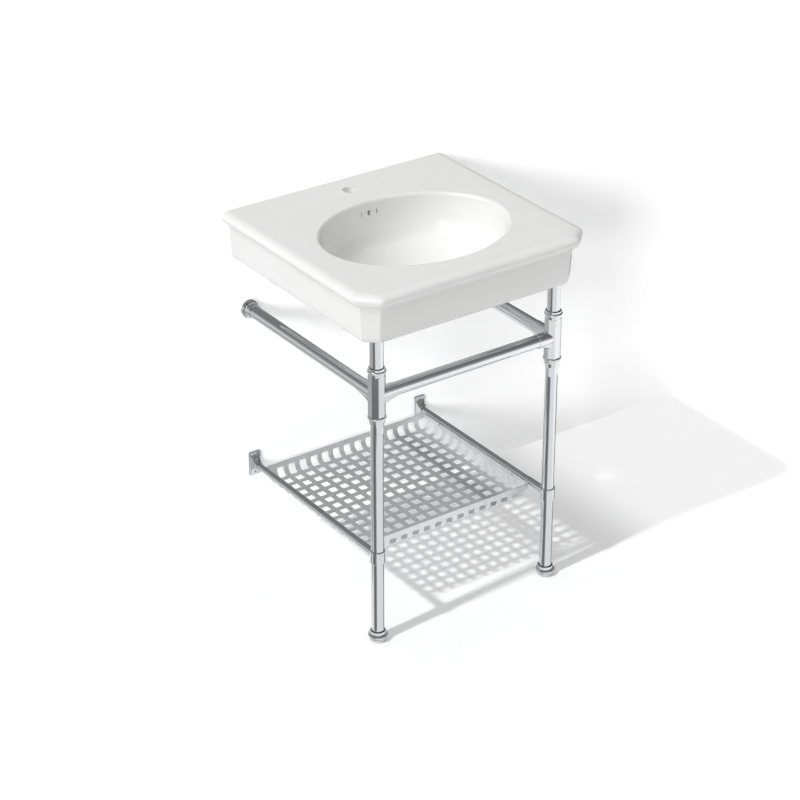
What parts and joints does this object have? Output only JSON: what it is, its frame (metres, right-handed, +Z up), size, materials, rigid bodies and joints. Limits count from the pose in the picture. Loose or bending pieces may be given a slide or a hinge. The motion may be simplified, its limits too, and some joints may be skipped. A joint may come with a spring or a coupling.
{
  "type": "console sink with legs",
  "caption": "White ceramic console basin on two chrome legs with towel rails and a perforated shelf tray, fixed to a wall",
  "frame": {"origin": "midway between the two wall bolt holes, on the wall plane at the basin's back", "axes": "+X to the right seen from the front, +Y into the wall, +Z up"},
  "size_m": [0.628, 0.583, 0.907],
  "materials": {
    "china": "glazed vitreous china, opaque white",
    "chrome": "polished chrome plate on brass",
    "tray_chrome": "satin chrome plate on perforated steel sheet",
    "screw_chrome": "chrome plated screw",
    "steel": "turned steel",
    "zinc": "zinc plated steel",
    "nylon": "moulded nylon",
    "rubber": "moulded rubber"
  },
  "bodies": {
    "root": {"basin": "china", "front_towel_bar": "chrome", "shelf_tray": "tray_chrome", "tray_screws": "screw_chrome", "tee_set_screws": "steel", "collar_set_screws": "steel", "flange_set_screws": "steel", "left_leg_stub": "chrome", "left_leg_top_plug": "zinc", "left_leg_top_washer": "nylon", "left_tee": "chrome", "left_leg_tube": "chrome", "left_foot_insert": "steel", "left_side_rail": "chrome", "left_wall_hub": "steel", "left_wall_flange": "chrome", "left_shelf_rail": "chrome", "left_shelf_collar": "chrome", "left_wall_bracket": "chrome", "right_leg_stub": "chrome", "right_leg_top_plug": "zinc", "right_leg_top_washer": "nylon", "right_tee": "chrome", "right_leg_tube": "chrome", "right_foot_insert": "steel", "right_side_rail": "chrome", "right_wall_hub": "steel", "right_wall_flange": "chrome", "right_shelf_rail": "chrome", "right_shelf_collar": "chrome", "right_wall_bracket": "chrome"},
    "left_foot_screw_body": {"left_foot_screw": "chrome"},
    "left_foot_pad_body": {"left_foot_pad": "chrome", "left_foot_sole": "rubber"},
    "right_foot_screw_body": {"right_foot_screw": "chrome"},
    "right_foot_pad_body": {"right_foot_pad": "chrome", "right_foot_sole": "rubber"}
  },
  "joints": [
    {"name": "left_foot_slide", "type": "slide", "parent": "root", "child": "left_foot_pad_body", "axis": [0, 0, -1], "range_m": [0, 0.012]},
    {"name": "left_foot_turn", "type": "hinge", "parent": "left_foot_pad_body", "child": "left_foot_screw_body", "pos_m": [-0.246, -0.525, -0.818], "axis": [0, 0, -1], "range_deg": [0, 2880]},
    {"name": "right_foot_slide", "type": "slide", "parent": "root", "child": "right_foot_pad_body", "axis": [0, 0, -1], "range_m": [0, 0.012]},
    {"name": "right_foot_turn", "type": "hinge", "parent": "right_foot_pad_body", "child": "right_foot_screw_body", "pos_m": [0.246, -0.525, -0.818], "axis": [0, 0, -1], "range_deg": [0, 2880]}
  ],
  "couplings": [
    {"joint": "left_foot_slide", "follows": "left_foot_turn", "m_per_rad": 0.00023873},
    {"joint": "right_foot_slide", "follows": "right_foot_turn", "m_per_rad": 0.00023873}
  ]
}
